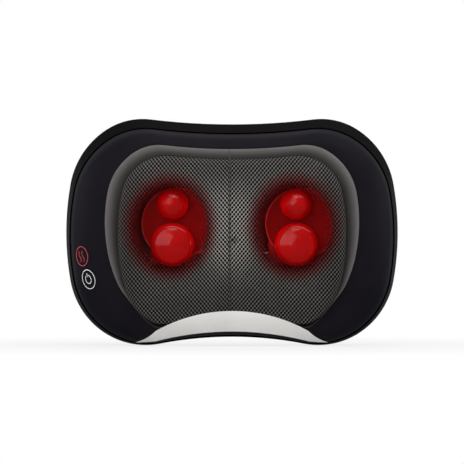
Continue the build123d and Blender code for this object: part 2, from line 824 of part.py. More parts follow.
def led_lamps():
    lamps = []
    y0 = case_front_y - board_thickness
    for x in head_xs:
        for i in range(led_count):
            angle = radians(360 * i / led_count)
            px = x + led_ring_radius * cos(angle)
            pz = head_z + led_ring_radius * sin(angle)
            lamp = cyl_y(led_radius, y0 - 3.5, y0, px, pz)
            tip = Pos(px, y0 - 3.5, pz) * Sphere(led_radius)
            lamps.append(lamp + (tip & cyl_y(led_radius + 1, y0 - 9, y0 - 3.5, px, pz)))
    return group(lamps)


jack_body_radius = 6.0
jack_nose_radius = 4.5
jack_bore_radius = plug_radius + 0.15
main_board_room = 35.3          # from each head's axis to the edge of the board
main_board_half = head_spacing / 2 - main_board_room
main_board_low, main_board_high = 132.0, 170.0


def dc_jack():
    x, z = jack_xz
    jack = cyl_y(jack_nose_radius, inner_back_y, back_y - 0.6, x, z)
    jack += cyl_y(jack_body_radius, inner_back_y - 11, inner_back_y, x, z)
    jack -= cyl_y(jack_bore_radius, back_y - 0.6 - plug_depth, back_y + 1, x, z)
    jack += cyl_y(plug_pin_radius, back_y - 1.6 - plug_depth, back_y - 3, x, z)
    return jack


def jack_nut():
    x, z = jack_xz
    nut = cyl_y(jack_body_radius + 2.5, inner_back_y - 3, inner_back_y, x, z)
    return nut - cyl_y(jack_body_radius, inner_back_y - 4, inner_back_y + 1, x, z)


def control_board():
    x1 = main_board_half
    y1 = chassis_y - 4.0
    return block(-x1, x1, y1 - board_thickness, y1, main_board_low, main_board_high)


def board_standoffs():
    studs = []
    for x in (4 - main_board_half, main_board_half - 4):
        for z in (main_board_low + 4, main_board_high - 4):
            studs.append(cyl_y(3.0, chassis_y - 4.0, chassis_y, x, z))
    return group(studs)


def board_parts():
    y1 = chassis_y - 4.0 - board_thickness
    chip = block(-6, 6, y1 - 2.2, y1, 146, 158)
    cap_a = cyl_y(5.0, y1 - 14, y1, -16, 142)
    cap_b = cyl_y(4.0, y1 - 11, y1, 16, 160)
    plug = block(8, 22, y1 - 7, y1, 136, 144)
    return group([chip, cap_a, cap_b, plug])


# ---- write every piece ---------------------------------------------------------------
pieces = {
    "rear_shell": rear_shell(),
    "front_bezel": front_bezel(),
    "mesh_cover": mesh_cover(),
    "side_gusset": side_gusset(),
    "cushion_foam": cushion_foam(),
    "cover_retainer": cover_retainer(),
    "trim_crescent": trim_crescent(),
    "chassis_plate": chassis_plate(),
    "drive_motor": drive_motor(),
    "motor_clamp": motor_clamp(),
    "motor_shaft": motor_shaft(),
    "worm_bushes": worm_bushes(),
    "led_lamps": led_lamps(),
    "control_board": control_board(),
    "board_standoffs": board_standoffs(),
    "board_parts": board_parts(),
    "button_board": button_board(),
    "dc_jack": dc_jack(),
    "jack_nut": jack_nut(),
    "housing_screws": housing_screws(),
    "chassis_screws": chassis_screws(),
    "case_screws": case_screws(),
    "clamp_screws": clamp_screws(),
    "button_board_screws": board_screws(),
}
for side, x in zip(("left", "right"), head_xs):
    pieces["gear_case_" + side] = gear_case(x)
    pieces["output_bushes_" + side] = output_bushes(x)
    pieces["thrust_washer_" + side] = thrust_washer(x)
    pieces["led_board_" + side] = led_board(x)
    pieces["worm_" + side] = worm(x)
    pieces["worm_wheel_" + side] = worm_wheel(x)
    pieces["output_shaft_" + side] = output_shaft(x)
    pieces["rotor_disc_" + side] = rotor_disc(x)
    pieces["node_pins_" + side] = node_pins(x)
    pieces["node_washers_" + side] = node_washers(x)
    pieces["big_node_" + side] = big_node(x)
    pieces["small_node_" + side] = small_node(x)
for use, spot in button_spots.items():
    pieces[use + "_button"] = button_cap(spot)
    pieces[use + "_plunger"] = switch_plunger(spot)
    pieces[use + "_switch"] = switch_body(spot)

for name, piece in pieces.items():
    export_step(piece, "parts/" + name + ".step")
    print(name, len(piece.solids()), round(piece.volume, 1))
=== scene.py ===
"""Shiatsu neck massager: its cushion, printed symbols, finishes and studio."""

import json
from functools import lru_cache
from math import cos, exp, pi, radians, sin, sqrt, tau

import bmesh
import bpy
from bpy.props import FloatProperty, FloatVectorProperty, PointerProperty
from mathutils import Matrix, Vector
from mathutils.bvhtree import BVHTree


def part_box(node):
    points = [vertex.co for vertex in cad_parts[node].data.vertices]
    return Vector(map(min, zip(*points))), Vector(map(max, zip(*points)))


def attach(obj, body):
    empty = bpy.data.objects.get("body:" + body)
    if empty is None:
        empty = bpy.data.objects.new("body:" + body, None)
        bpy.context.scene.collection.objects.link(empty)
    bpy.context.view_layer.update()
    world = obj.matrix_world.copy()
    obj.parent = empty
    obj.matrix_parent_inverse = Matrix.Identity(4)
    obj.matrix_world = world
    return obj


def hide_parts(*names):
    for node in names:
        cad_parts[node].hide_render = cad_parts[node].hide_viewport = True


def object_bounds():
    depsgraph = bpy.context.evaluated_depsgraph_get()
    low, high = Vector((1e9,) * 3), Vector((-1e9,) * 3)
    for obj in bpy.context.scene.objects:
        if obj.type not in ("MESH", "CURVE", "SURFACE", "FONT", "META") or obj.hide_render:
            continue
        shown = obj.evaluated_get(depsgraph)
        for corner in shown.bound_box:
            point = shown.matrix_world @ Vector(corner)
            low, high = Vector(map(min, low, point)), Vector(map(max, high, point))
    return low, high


bl_info = {
    "name": "Shiatsu neck massager",
    "version": (1, 0, 0),
    "blender": (4, 5, 0),
    "location": "3D Viewport > Sidebar > Massager",
    "description": "Builds the cushion, symbols, finishes and studio of a shiatsu neck massager",
    "category": "Object",
}

MM = 0.001
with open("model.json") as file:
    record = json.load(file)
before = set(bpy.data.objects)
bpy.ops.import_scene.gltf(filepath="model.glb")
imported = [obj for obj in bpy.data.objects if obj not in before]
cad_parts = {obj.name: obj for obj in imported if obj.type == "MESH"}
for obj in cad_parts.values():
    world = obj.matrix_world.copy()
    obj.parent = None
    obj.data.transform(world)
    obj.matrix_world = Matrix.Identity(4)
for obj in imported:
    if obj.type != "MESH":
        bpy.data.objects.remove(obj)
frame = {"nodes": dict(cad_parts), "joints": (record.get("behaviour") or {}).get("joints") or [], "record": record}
cad_box = [list(corner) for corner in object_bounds()]
ROUND_THE_CUSHION = 224                 # points round each ring of fabric
KNIT_RINGS = 44                         # rings of points from the middle of the knit to its seam
HELD_RINGS = 9                          # rings next to the seam that the heads push less and less
GUSSET_RINGS = 12                       # rings from the foot of the gusset to its seam
CUSHION_MIDDLE = Vector((0.0, 0.0, 0.108))
PAINTED_HIGHLIGHT_HEIGHT = 118 * MM                # height at which the painted highlight on the knit between the heads is brightest


# ---- sizes and colours ---------------------------------------------------------------
def length(name, description, default):
    return FloatProperty(name=name, description=description, default=default, unit="LENGTH", precision=5)


def share(name, description, default):
    return FloatProperty(name=name, description=description, default=default,
                         min=0.0, max=1.0, subtype="FACTOR")


def amount(name, description, default):
    return FloatProperty(name=name, description=description, default=default, min=0.0)


def colour(name, description, default):
    return FloatVectorProperty(name=name, description=description, default=default, size=3,
                               min=0.0, max=1.0, subtype="COLOR")


class KnitSettings(bpy.types.PropertyGroup):
    """The knitted front of the cushion."""
    hole_step_x: length("Hole step across", "Distance between holes in a row", 3.87 * MM)
    hole_step_z: length("Hole step down", "Distance between holes in a column", 4.7 * MM)
    hole_radius: length("Hole radius", "Radius of each round hole", 1.20 * MM)
    seam_offset: length("Seam offset", "How far the middle seam lies from the middle", -2.4 * MM)
    clear_radius: length("Clear radius", "Sheer knit in front of each head", 28.5 * MM)
    knit_radius: length("Knit radius", "Where the knit is full again", 43.0 * MM)
    # the painted red light and glow on the knit reach this far
    glow_radius: length("Glow radius", "How far the red light reaches over the knit", 54.0 * MM)
    sheer_height: FloatProperty(name="Sheer height", description="Height of the sheer part over its width",
                                default=1.16, min=0.5, max=2.0)
    sheer_drop: length("Sheer drop", "How far the sheer part lies below the axis", 3.2 * MM)
    thickness: length("Knit thickness", "Thickness of the fabric", 0.9 * MM)
    edge_round: length("Edge rounding", "Radius at which the knit turns in to its seam", 11.0 * MM)
    turn_in: length("Turn-in", "Fabric that both edges turn in, beyond the cover's size", 30.0 * MM)
    seam_low: length("Seam height, low", "Height of the seam over the ledge at the foot", 1.2 * MM)
    seam_rise: length("Seam rise", "How much higher the seam is at the top", 8.8 * MM)
    head_lift: length("Head lift", "How far a head pushes the knit out", 1.3 * MM)
    head_reach: length("Head reach", "How far from a head's axis the knit is pushed out", 52.0 * MM)
    thread: colour("Thread", "Colour of the grey threads", (0.165, 0.159, 0.150))
    # painted highlight: the lighter thread colour stands for light falling on the knit between the heads
    thread_painted_highlight: colour("Painted-highlight thread", "Lighter colour painted where light falls on the knit between the heads", (0.46, 0.44, 0.415))
    # painted red light: thread colour in front of the red lamps
    thread_painted_red: colour("Lit thread", "Colour in front of the red lamps", (0.10, 0.0040, 0.0040))
    # painted shade: the dark inside seen through the holes is painted on the knit
    hole: colour("Hole", "Colour seen in the holes", (0.0030, 0.0025, 0.0020))


class GussetSettings(bpy.types.PropertyGroup):
    """The smooth padded wall round the knit."""
    puff: share("Puff", "How far the wall swells, as a share of its width", 0.20)
    tuck: length("Tuck", "How deep the wall turns in at the seam", 1.6 * MM)
    foot_lift: length("Foot lift", "Gap between the wall and the ledge under it", 0.12 * MM)
    narrow_low: length("Narrow end", "Height below which the wall is at its narrowest", 34.0 * MM)
    narrow_rise: length("Narrowing", "Height over which it grows to its full width", 30.0 * MM)
    narrow_share: share("Narrow share", "Least width as a share of the full width", 0.10)
    fabric: colour("Fabric", "Colour of the smooth fabric", (0.160, 0.151, 0.148))
    # painted shade: colour where the wall turns in at the seam
    fabric_painted_shade: colour("Fabric at the seam", "Colour where the fabric turns in", (0.038, 0.034, 0.033))


class PrintSettings(bpy.types.PropertyGroup):
    """The two printed symbols."""
    ring_radius: length("Ring radius", "Half the height of each printed ring", 9.9 * MM)
    narrow: share("Narrowing", "Width of each ring as a share of its height", 0.72)
    line: length("Line width", "Width of the printed lines", 0.80 * MM)
    ink: length("Ink thickness", "Thickness of the print", 0.12 * MM)
    heat: colour("Heat ink", "Colour of the heat symbol", (0.58, 0.045, 0.060))
    power: colour("Power ink", "Colour of the power symbol", (0.92, 0.92, 0.93))


class FinishSettings(bpy.types.PropertyGroup):
    """The colours of the moulded pieces."""
    shell: colour("Shell", "Rear shell", (0.0040, 0.0031, 0.0038))
    bezel: colour("Bezel", "Front ring", (0.0098, 0.0086, 0.0122))
    pearl: colour("Pearl", "Crescent trim", (0.91, 0.90, 0.875))
    head: colour("Head", "See-through kneading balls", (0.43, 0.0020, 0.0024))
    disc: colour("Disc", "Turning discs", (0.27, 0.0003, 0.0003))
    # painted highlight: colour of the rim where light catches it
    disc_rim_highlight: colour("Disc rim", "Rim of the turning discs", (0.50, 0.075, 0.075))


class StudioSettings(bpy.types.PropertyGroup):
    """The camera and lamps."""
    distance: length("Camera distance", "From the camera to the middle of the massager", 6.0)
    frame_width: length("Frame width", "What the camera sees across at that distance", 0.476)
    fill: amount("Fill", "Strength of the even light all round", 0.30)
    key: amount("Key", "Watts of the large lamp above", 44.0)
    window: amount("Window", "Watts of the wide lamp on the left", 30.0)
    side: amount("Side", "Watts of each side lamp", 7.0)
    inside: amount("Inside", "Watts of each red lamp behind a disc", 0.2)
    inside_offset: length("Inside offset", "From a head's axis to the middle of its red lamps", 7.2 * MM)
    inside_reach: length("Inside reach", "From that middle to each of the two red lamps", 22.0 * MM)
    inside_depth: length("Inside depth", "Depth of the red lamps behind the discs", -13.0 * MM)


class MassagerSettings(bpy.types.PropertyGroup):
    """All the sizes and colours of the massager."""
    knit: PointerProperty(type=KnitSettings)
    gusset: PointerProperty(type=GussetSettings)
    symbols: PointerProperty(type=PrintSettings)
    finish: PointerProperty(type=FinishSettings)
    studio: PointerProperty(type=StudioSettings)


# ---- shaders -------------------------------------------------------------------------
class Sum:
    """A number on a socket, so that shader maths can be written as an expression."""

    def __init__(self, finish, socket):
        self.finish = finish
        self.socket = socket

    def join(self, operation, *others):
        node = self.finish.node("ShaderNodeMath", {"operation": operation})
        for socket, value in zip(node.inputs, (self, *others)):
            self.finish.feed(socket, value)
        return Sum(self.finish, node.outputs[0])

    def __add__(self, other):
        return self.join("ADD", other)

    def __sub__(self, other):
        return self.join("SUBTRACT", other)

    def __mul__(self, other):
        return self.join("MULTIPLY", other)

    def __truediv__(self, other):
        return self.join("DIVIDE", other)

    def __rsub__(self, other):
        node = self.finish.node("ShaderNodeMath", {"operation": "SUBTRACT"})
        self.finish.feed(node.inputs[0], other)
        self.finish.feed(node.inputs[1], self)
        return Sum(self.finish, node.outputs[0])

    __radd__ = __add__
    __rmul__ = __mul__

    def smallest(self, other):
        return self.join("MINIMUM", other)

    def largest(self, other):
        return self.join("MAXIMUM", other)

    def size(self):
        return self.join("ABSOLUTE")

    def root(self):
        return self.join("SQRT")

    def cosine(self):
        return self.join("COSINE")

    def from_nearest(self, step):
        """Signed distance to the nearest multiple of a step."""
        turns = self / step
        return (turns - turns.join("ROUND")) * step

    def rise(self, low, high):
        """0 at low and 1 at high, smooth between them. High may be less than low."""
        node = self.finish.node("ShaderNodeMapRange", {"interpolation_type": "SMOOTHSTEP", "clamp": True})
        for name, value in (("Value", self), ("From Min", low), ("From Max", high)):
            self.finish.feed(node.inputs[name], value)
        return Sum(self.finish, node.outputs["Result"])


def nearest_of(finish, spots, stretch=1.0):
    """Distance in x and z to the nearest of some spots, with heights divided by the stretch."""
    x, _, z = finish.axes(finish.place())
    nearest = None
    for spot_x, spot_z in spots:
        dx, dz = x - spot_x, (z - spot_z) / stretch
        gap = (dx * dx + dz * dz).root()
        nearest = gap if nearest is None else nearest.smallest(gap)
    return nearest


class Finish:
    """A material in the making, with its principled shader."""

    def __init__(self, name, **constants):
        self.material = bpy.data.materials.new(name)
        self.material.use_nodes = True
        self.tree = self.material.node_tree
        self.tree.nodes.clear()
        self.shader = self.node("ShaderNodeBsdfPrincipled")
        output = self.node("ShaderNodeOutputMaterial")
        self.tree.links.new(self.shader.outputs[0], output.inputs["Surface"])
        self.set(**constants)

    def feed(self, socket, value):
        if isinstance(value, Sum):
            self.tree.links.new(value.socket, socket)
        elif isinstance(value, bpy.types.NodeSocket):
            self.tree.links.new(value, socket)
        elif socket.type == "RGBA" and len(value) == 3:
            socket.default_value = (*value, 1.0)
        else:
            socket.default_value = value

    def node(self, kind, settings=None, sockets=None):
        """A node, with its settings made before its sockets are fed."""
        made = self.tree.nodes.new(kind)
        for name, value in (settings or {}).items():
            setattr(made, name, value)
        for name, value in (sockets or {}).items():
            self.feed(made.inputs[name], value)
        return made

    def set(self, **sockets):
        """Feeds the shader's sockets, named with _ for a space."""
        for name, value in sockets.items():
            self.feed(self.shader.inputs[name.replace("_", " ")], value)
        return self

    def place(self, centre=(0.0, 0.0, 0.0), turn=(0.0, 0.0, 0.0), scale=(1.0, 1.0, 1.0)):
        """Where a point is on the piece, as a vector in metres."""
        coordinates = self.node("ShaderNodeTexCoord").outputs["Object"]
        sockets = {"Vector": coordinates, "Location": centre, "Rotation": turn, "Scale": scale}
        return self.node("ShaderNodeMapping", {"vector_type": "POINT"}, sockets).outputs[0]

    def attribute(self, name):
        return self.node("ShaderNodeAttribute", {"attribute_type": "GEOMETRY", "attribute_name": name})

    def axes(self, vector):
        made = self.node("ShaderNodeSeparateXYZ", None, {"Vector": vector})
        return [Sum(self, socket) for socket in made.outputs]

    def grain(self, scale, detail=2.0, roughness=0.5, vector=None):
        sockets = {"Vector": vector or self.place(), "Scale": scale, "Detail": detail, "Roughness": roughness}
        return Sum(self, self.node("ShaderNodeTexNoise", None, sockets).outputs["Fac"])

    def mix(self, factor, a, b, blend="MIX"):
        made = self.node("ShaderNodeMix", {"data_type": "RGBA", "blend_type": blend})
        self.feed(made.inputs["Factor"], factor)
        for name, tone in (("A", a), ("B", b)):
            self.feed([s for s in made.inputs if s.name == name and s.type == "RGBA"][0], tone)
        return [s for s in made.outputs if s.type == "RGBA"][0]

    def bump(self, height, distance, strength=1.0):
        sockets = {"Height": height, "Distance": distance, "Strength": strength}
        self.set(Normal=self.node("ShaderNodeBump", None, sockets).outputs[0])
        return self


class Sky(Finish):
    """The world, made with the same node methods as a material."""

    def __init__(self, name):
        self.world = bpy.data.worlds.new(name)
        self.world.use_nodes = True
        self.tree = self.world.node_tree
        self.tree.nodes.clear()
        self.shader = self.node("ShaderNodeBackground")
        output = self.node("ShaderNodeOutputWorld")
        self.tree.links.new(self.shader.outputs[0], output.inputs["Surface"])


def moulded(name, tone, rough, relief, grain_scale=2600.0, tint=0.12, **constants):
    """Plastic with a fine moulded texture and slight changes of tone."""
    finish = Finish(name, **constants)
    cloud = finish.grain(26.0, 3.0)
    fine = finish.grain(grain_scale, 2.0)
    darker = tuple(c * (1 - tint) for c in tone)
    lighter = tuple(min(1.0, c * (1 + tint)) for c in tone)
    finish.set(Base_Color=finish.mix(cloud.rise(0.3, 0.7), darker, lighter))
    finish.set(Roughness=rough + (cloud - 0.5) * 0.08 + (fine - 0.5) * 0.06)
    return finish.bump(fine, relief)


def machined(name, tone, rough, along, **constants):
    """Metal with fine tool marks across one axis."""
    finish = Finish(name, Metallic=1.0, **constants)
    scale = [220.0, 220.0, 220.0]
    scale["xyz".index(along)] = 9000.0
    marks = finish.grain(1.0, 3.0, 0.6, finish.place(scale=scale))
    cloud = finish.grain(60.0, 3.0)
    darker = tuple(c * 0.78 for c in tone)
    finish.set(Base_Color=finish.mix(cloud.rise(0.35, 0.65), darker, tone))
    finish.set(Roughness=rough + (marks - 0.5) * 0.16)
    return finish.bump(marks, 0.00002)


# ---- shapes --------------------------------------------------------------------------
def settings():
    """The sizes and colours in use."""
    return bpy.context.scene.massager


@lru_cache(maxsize=None)
def corners(node):
    """Lowest and highest corner of a CAD piece."""
    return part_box(node)


def tree_of(*nodes):
    """A search tree of the surfaces of CAD pieces or finished objects."""
    bm = bmesh.new()
    for node in nodes:
        bm.from_mesh(frame["nodes"][node].data if isinstance(node, str) else node.data)
    tree = BVHTree.FromBMesh(bm)
    bm.free()
    return tree


def ways_round():
    """The directions from the cushion's middle, one for each point of a ring."""
    turns = [tau * i / ROUND_THE_CUSHION for i in range(ROUND_THE_CUSHION)]
    return [Vector((cos(turn), 0.0, sin(turn))) for turn in turns]


def reach_of(tree, depth, way):
    """How far a piece reaches from the cushion's middle, at one depth and in one direction."""
    start = CUSHION_MIDDLE + Vector((0.0, depth, 0.0)) + way * 0.4
    hit = tree.ray_cast(start, -way)[0]
    if hit is None:
        raise RuntimeError("the cushion's outline wasn't found at depth %.4f" % depth)
    return (hit - CUSHION_MIDDLE - Vector((0.0, depth, 0.0))).length


def linked(name, data):
    """An object in the scene that shows a mesh, a lamp or a camera."""
    made = bpy.data.objects.new(name, data)
    bpy.context.scene.collection.objects.link(made)
    return made


def finished(name, bm, body, finish, smooth=True):
    """Makes an object from a bmesh and lets it ride on a body."""
    mesh = bpy.data.meshes.new(name)
    for face in bm.faces:
        face.smooth = smooth
    bm.to_mesh(mesh)
    bm.free()
    mesh.materials.append(finish.material)
    made = linked(name, mesh)
    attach(made, body)
    return made


def ringed_surface(rings, close=False):
    """A surface swept through rings of points, each ring extruded from the one before."""
    bm = bmesh.new()
    place = bm.verts.layers.int.new("place")
    bmesh.ops.create_circle(bm, cap_ends=False, radius=1.0, segments=len(rings[0]))
    bm.verts.ensure_lookup_table()
    around = [bm.verts[0]]
    edge = around[0].link_edges[0]
    while len(around) < len(rings[0]):
        following = edge.other_vert(around[-1])
        around.append(following)
        edge = [e for e in following.link_edges if e != edge][0]
    for i, vert in enumerate(around):
        vert[place] = i
        vert.co = rings[0][i]
    first = edges = list(bm.edges)
    for ring in rings[1:]:
        made = bmesh.ops.extrude_edge_only(bm, edges=edges)["geom"]
        edges = [g for g in made if isinstance(g, bmesh.types.BMEdge)]
        for vert in [g for g in made if isinstance(g, bmesh.types.BMVert)]:
            vert.co = ring[vert[place]]
        edges = [e for e in edges if all((v.co - ring[v[place]]).length < 1e-9 for v in e.verts)]
    if close:
        bmesh.ops.bridge_loops(bm, edges=first + edges)
    return bm, first, edges


def subdivided(made, levels=1):
    """Smooths a piece, as much on screen as in a render."""
    modifier = made.modifiers.new("Smooth", "SUBSURF")
    modifier.levels = modifier.render_levels = levels
    return made


# ---- cushion -------------------------------------------------------------------------
@lru_cache(maxsize=None)
def middles(node):
    """The middle of the left and the right of a pair of CAD pieces, as (x, z)."""
    found = []
    for side in ("left", "right"):
        low, high = corners(node + "_" + side)
        found.append(((low.x + high.x) / 2, (low.z + high.z) / 2))
    return found


def head_places():
    """The axis of each massage head, as (x, z)."""
    return middles("output_shaft")


def seam_depth(z):
    """The depth of the seam round the knit, from its low end to its high end."""
    low, high = corners("side_gusset")
    share_up = min(1.0, max(0.0, (z - low.z) / (high.z - low.z)))
    knit = settings().knit
    return high.y - knit.seam_low - knit.seam_rise * share_up


def fabric_lift(x, z, knit):
    """How far the stretched knit stands in front of its base shape at a place."""
    lift = 0.0
    for head_x, head_z in head_places():
        away = sqrt((x - head_x) ** 2 + (z - head_z) ** 2)
        lift += knit.head_lift * max(0.0, 1 - (away / knit.head_reach) ** 2) ** 1.5
    off = x - knit.seam_offset
    for depth, width in ((1.5 * MM, 2.6 * MM), (1.4 * MM, 13 * MM)):      # sharp dip, then the wide one
        lift -= depth * exp(-(off / width) ** 2)
    return lift


def section_radii(reach):
    """Distances from the middle at which the front is measured, closer together near the edge."""
    roundness = settings().knit.edge_round
    flat = reach - roundness
    even = [flat * i / 34 for i in range(1, 35)]
    return even + [flat + roundness * sin(radians(turn)) for turn in range(4, 91, 4)]


def cut_at_seam(points):
    """The points up to the seam, ending on it."""
    kept = [points[0]]
    for a, b in zip(points, points[1:]):
        end_y = seam_depth(b.z)
        if b.y >= end_y:
            kept.append(a.lerp(b, min(1.0, max(0.0, (end_y - a.y) / max(1e-9, b.y - a.y)))))
            break
        kept.append(b)
    return kept


def spread(points):
    """KNIT_RINGS + 1 points along a line of points, closer together near its end, with the run to each."""
    lengths = [0.0]
    for a, b in zip(points, points[1:]):
        lengths.append(lengths[-1] + (b - a).length)
    placed = []
    for i in range(KNIT_RINGS + 1):
        goal = lengths[-1] * (1 - (1 - i / KNIT_RINGS) ** 1.25)
        k = max(j for j in range(len(lengths)) if lengths[j] <= goal + 1e-12)
        if k == len(points) - 1:
            placed.append((points[-1].copy(), lengths[-1]))
            continue
        part = (goal - lengths[k]) / (lengths[k + 1] - lengths[k])
        placed.append((points[k].lerp(points[k + 1], part), goal))
    return placed


def front_profiles():
    """For each direction, points of the knit from the middle out to the seam, each with its run."""
    cover = tree_of("mesh_cover")
    front_y = corners("mesh_cover")[0].y - 0.05
    profiles = []
    for way in ways_round():
        reach = reach_of(cover, seam_depth(CUSHION_MIDDLE.z), way)
        points = []
        for radius in section_radii(reach):
            place = CUSHION_MIDDLE + way * min(radius, reach - 0.05 * MM)
            points.append(cover.ray_cast(Vector((place.x, front_y, place.z)), Vector((0, 1, 0)))[0])
        points.append(Vector((points[-1].x, seam_depth(points[-1].z) + 1, points[-1].z)))
        kept = cut_at_seam(points)
        first = (kept[0] - Vector((CUSHION_MIDDLE.x, kept[0].y, CUSHION_MIDDLE.z))).length
        profiles.append([(point, run + first) for point, run in spread(kept)])
    return profiles


def knit_finish():
    """Grey knit with staggered round holes, sheer in front of the heads; painted red light and glow round the
    heads, a painted highlight between them, and painted shade towards its edges, in its holes and along the middle
    seam.
    """
    knit = settings().knit
    finish = Finish("mesh_grey_knit", Roughness=0.8, Specular_IOR_Level=0.1)
    across, _, up = finish.axes(finish.attribute("cloth_place").outputs["Vector"])
    mirrored = (across - knit.seam_offset).size()
    step_x, step_z = knit.hole_step_x, knit.hole_step_z
    away = []
    for shift in (0.0, 0.5):
        dx = (mirrored + (0.30 + shift) * step_x).from_nearest(step_x)
        dz = (up + shift * step_z).from_nearest(step_z)
        away.append((dx * dx + dz * dz * 0.72).root())
    edge = away[0].smallest(away[1])
    hole = edge.rise(knit.hole_radius + 0.14 * MM, knit.hole_radius - 0.14 * MM)
    ribs = ((mirrored / step_x + 0.30 - up / step_z) * tau).cosine() * -0.5 + 0.5
    x, _, z = finish.axes(finish.place())
    near = nearest_of(finish, [(head_x, head_z - knit.sheer_drop) for head_x, head_z in head_places()],
                      knit.sheer_height)
    clear = near.rise(knit.knit_radius, knit.clear_radius)
    # these masks mark where the red light from the lamps behind the heads is painted on the knit
    painted_red_light = near.rise(knit.knit_radius + 9 * MM, knit.clear_radius + 6 * MM)
    glow = near.rise(knit.glow_radius, knit.clear_radius + 8 * MM)
    # painted highlight: centre marks a lighter band across the knit between the heads, where light falls on it
    above = (z - PAINTED_HIGHLIGHT_HEIGHT).size()
    centre = (x - knit.seam_offset).size().rise(36 * MM, 8 * MM) * above.rise(62 * MM, 15 * MM)
    # painted shade: the knit is darker towards its sides, top and bottom, where it turns away from the light
    knit_edge_painted_shade = x.size().rise(72 * MM, 112 * MM).largest(above.rise(48 * MM, 84 * MM) * 0.6)
    worn = finish.grain(55.0, 3.0)
    # painted highlight mixed in by centre, with random tone from the grain
    tone = finish.mix(centre * 0.8 + worn * 0.14, knit.thread, knit.thread_painted_highlight)
    tone = finish.mix(knit_edge_painted_shade * 0.55, tone, (0.30, 0.30, 0.31), "MULTIPLY")
    tone = finish.mix(ribs, finish.mix(0.75, tone, (0.35, 0.35, 0.35), "MULTIPLY"), tone)
    # painted red light: the knit is tinted red round the heads
    tone = finish.mix(glow * 0.72, tone, (1.0, 0.20, 0.20), "MULTIPLY")
    tone = finish.mix(painted_red_light, tone, knit.thread_painted_red)
    # painted shade in the holes, and along the crease beside the middle seam
    seam = (x - knit.seam_offset).size().rise(1.3 * MM, 0.4 * MM)
    tone = finish.mix(hole.largest(seam * 0.8), tone, knit.hole)
    finish.set(Base_Color=tone)
    # painted glow: the knit itself gives off red light round the heads
    finish.set(Emission_Color=finish.mix(glow * (1 - hole), (0, 0, 0), (0.07, 0.001, 0.001)),
               Emission_Strength=0.4)
    open_hole = hole * clear.rise(0.0, 0.45)
    finish.set(Alpha=(1 - clear) * (1 - open_hole))
    finish.bump((1 - hole) * 0.6 + ribs * 0.4, 0.00045)
    return finish


class MASSAGER_OT_knit_front(bpy.types.Operator):
    """Stretch the knitted front over the massage heads"""
    bl_idname = "massager.knit_front"
    bl_label = "Knitted Front"

    def execute(self, context):
        profiles = front_profiles()
        knit = settings().knit
        rings = []
        for i in range(1, len(profiles[0])):
            rings.append([profile[i][0].copy() for profile in profiles])
        last = len(rings) - 1
        for i, ring in enumerate(rings):
            held = min(1.0, (last - i) / HELD_RINGS)
            for point in ring:
                point.y -= fabric_lift(point.x, point.z, knit) * held * held * (3 - 2 * held)
        rings.reverse()
        bm, _, inner = ringed_surface(rings)
        place = bm.verts.layers.int["place"]
        cloth = bm.verts.layers.float_vector.new("cloth_place")
        ways = ways_round()
        lookup = {}
        for i, ring in enumerate(rings):
            for j, point in enumerate(ring):
                lookup[(j, round(point.x, 7), round(point.y, 7), round(point.z, 7))] = i
        for vert in bm.verts:
            key = (vert[place], *(round(c, 7) for c in vert.co))
            i = len(rings) - lookup[key]
            run = profiles[vert[place]][i][1]
            flat = CUSHION_MIDDLE + ways[vert[place]] * run
            vert[cloth] = (flat.x, 0.0, flat.z)
        bmesh.ops.holes_fill(bm, edges=inner, sides=0)
        bmesh.ops.poke(bm, faces=[f for f in bm.faces if len(f.verts) > 4])
        for vert in bm.verts:
            if vert[cloth].length < 1e-9:
                vert[cloth] = (CUSHION_MIDDLE.x, 0.0, CUSHION_MIDDLE.z)
        bmesh.ops.recalc_face_normals(bm, faces=bm.faces)
        flat_area = sum(face.calc_area() for face in bm.faces)
        made = finished("knit_front", bm, "casing", knit_finish())
        if sum(face.normal.y for face in made.data.polygons) > 0:
            made.data.flip_normals()
        subdivided(made)
        thick = made.modifiers.new("Thickness", "SOLIDIFY")
        thick.thickness = knit.thickness
        thick.offset = -1.0
        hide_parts("mesh_cover")
        return {"FINISHED"}


def gusset_finish():
    """Smooth grey stretch fabric with a fine rib, with painted shade darkening it towards the seam where it turns
    in.
    """
    gusset = settings().gusset
    finish = Finish("gusset_grey_stretch", Roughness=0.72, Specular_IOR_Level=0.15)
    shade = Sum(finish, finish.attribute("turn_in").outputs["Fac"])
    x, _, z = finish.axes(finish.place())
    weave = ((x + z) * 5200.0).cosine() * ((x - z) * 5200.0).cosine()
    soft = finish.grain(34.0, 3.0)
    # painted shade: darker from the foot of the wall towards the seam
    tone = finish.mix(shade.rise(0.10, 0.9), gusset.fabric, gusset.fabric_painted_shade)
    tone = finish.mix((soft * 0.5 + weave * 0.18), tone, (0.30, 0.29, 0.285), "OVERLAY")
    finish.set(Base_Color=tone)
    return finish.bump(weave * 0.5 + soft, 0.00012)


